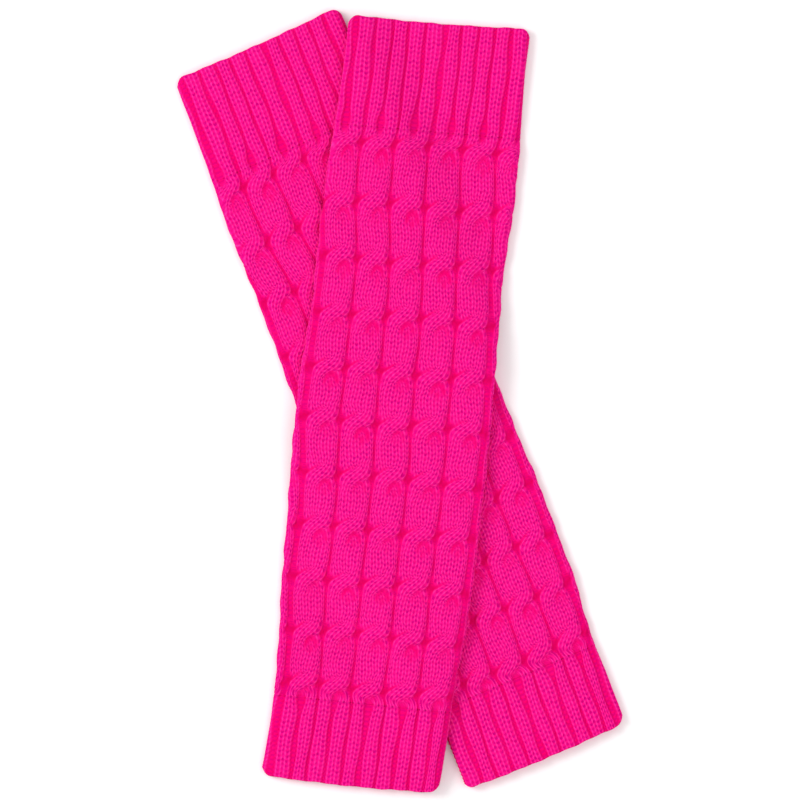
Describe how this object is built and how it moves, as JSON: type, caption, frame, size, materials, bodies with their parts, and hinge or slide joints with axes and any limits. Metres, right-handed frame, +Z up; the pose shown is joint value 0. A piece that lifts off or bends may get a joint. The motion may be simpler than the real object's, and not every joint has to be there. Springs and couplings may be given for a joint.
{
  "type": "pair of cable-knit leg warmers, laid flat and crossed",
  "caption": "Flat knitted tubes with cables and ribbed cuffs, open at both ends, laid crossed one over the other to warm the lower legs.",
  "frame": {"origin": "on the surface that the pair lies on, below the middle of its bounding box", "axes": "+Z up from the surface, +Y towards the knee cuffs, +X to the right as seen from above"},
  "size_m": [0.2444, 0.4306, 0.0152],
  "materials": {
    "cable_knit": "soft hot-pink acrylic yarn, cabled stockinette, slightly fuzzy",
    "rib_knit": "soft hot-pink acrylic yarn, two by two rib, slightly fuzzy"
  },
  "bodies": {
    "root": {"under_knee_cuff": "rib_knit", "under_cabled_leg": "cable_knit", "under_ankle_cuff": "rib_knit", "upper_knee_cuff": "rib_knit", "upper_cabled_leg": "cable_knit", "upper_ankle_cuff": "rib_knit"}
  },
  "joints": []
}
